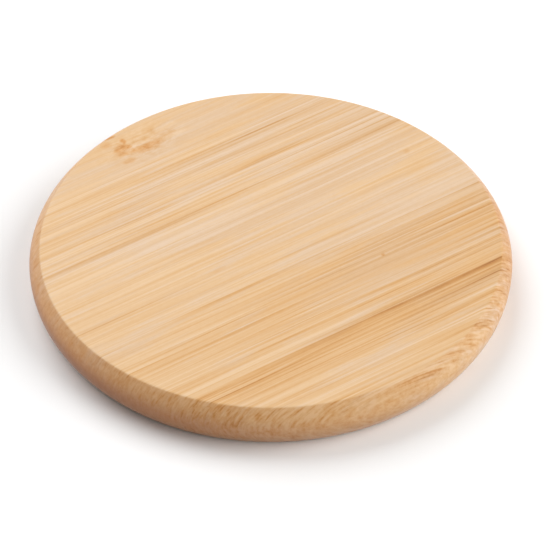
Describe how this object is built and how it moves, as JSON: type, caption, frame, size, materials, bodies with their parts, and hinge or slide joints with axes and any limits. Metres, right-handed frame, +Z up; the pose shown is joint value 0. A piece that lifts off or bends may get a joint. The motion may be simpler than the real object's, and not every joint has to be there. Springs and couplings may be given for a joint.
{
  "type": "wireless charging pad",
  "caption": "Flat round bamboo disc with a softly bulged side that charges a phone laid on top, with a USB-C inlet in the rim and a silicone foot ring underneath.",
  "frame": {"origin": "centre of the plane that the pad stands on, under the middle of the charging face", "axes": "+X along the bamboo's grain, +Y out through the USB-C port at the back, +Z up through the charging face"},
  "size_m": [0.1, 0.0995, 0.01],
  "materials": {
    "bamboo": "satin clear oil over laminated bamboo",
    "cover_plastic": "fine moulded texture",
    "silicone": "matt",
    "screw_steel": "zinc plated",
    "receptacle_steel": "bright nickel",
    "connector_plastic": "semi-matt",
    "circuit_board": "solder mask over glass fibre",
    "chip_package": "moulded epoxy",
    "capacitor": "sintered ceramic",
    "resistor": "glazed thick film",
    "led_package": "white package under clear resin",
    "clear_acrylic": "polished clear",
    "copper_wire": "enamelled, served litz",
    "ferrite": "ground",
    "polyester_tape": "translucent",
    "polyimide_film": "amber",
    "foam": "open cell",
    "thermistor_resin": "dipped"
  },
  "bodies": {
    "root": {"bamboo_housing": "bamboo", "base_cover": "cover_plastic", "anti_slip_ring": "silicone", "port_bezel": "cover_plastic", "usb_c_shell": "receptacle_steel", "usb_c_tongue": "connector_plastic", "light_pipe": "clear_acrylic", "main_pcb": "circuit_board", "control_ic": "chip_package", "bridge_mosfet_1": "chip_package", "bridge_mosfet_2": "chip_package", "resonant_capacitor_1": "capacitor", "resonant_capacitor_2": "capacitor", "resonant_capacitor_3": "capacitor", "resonant_capacitor_4": "capacitor", "input_capacitor_1": "capacitor", "input_capacitor_2": "capacitor", "current_sense_resistor": "resistor", "indicator_led": "led_package", "tx_coil": "copper_wire", "ferrite_shield": "ferrite", "coil_tape": "polyester_tape", "insulating_film": "polyimide_film", "foam_spacer": "foam", "ntc_thermistor": "thermistor_resin", "base_screw_1": "screw_steel", "base_screw_2": "screw_steel", "base_screw_3": "screw_steel", "base_screw_4": "screw_steel", "pcb_screw_1": "screw_steel", "pcb_screw_2": "screw_steel", "pcb_screw_3": "screw_steel"}
  },
  "joints": []
}
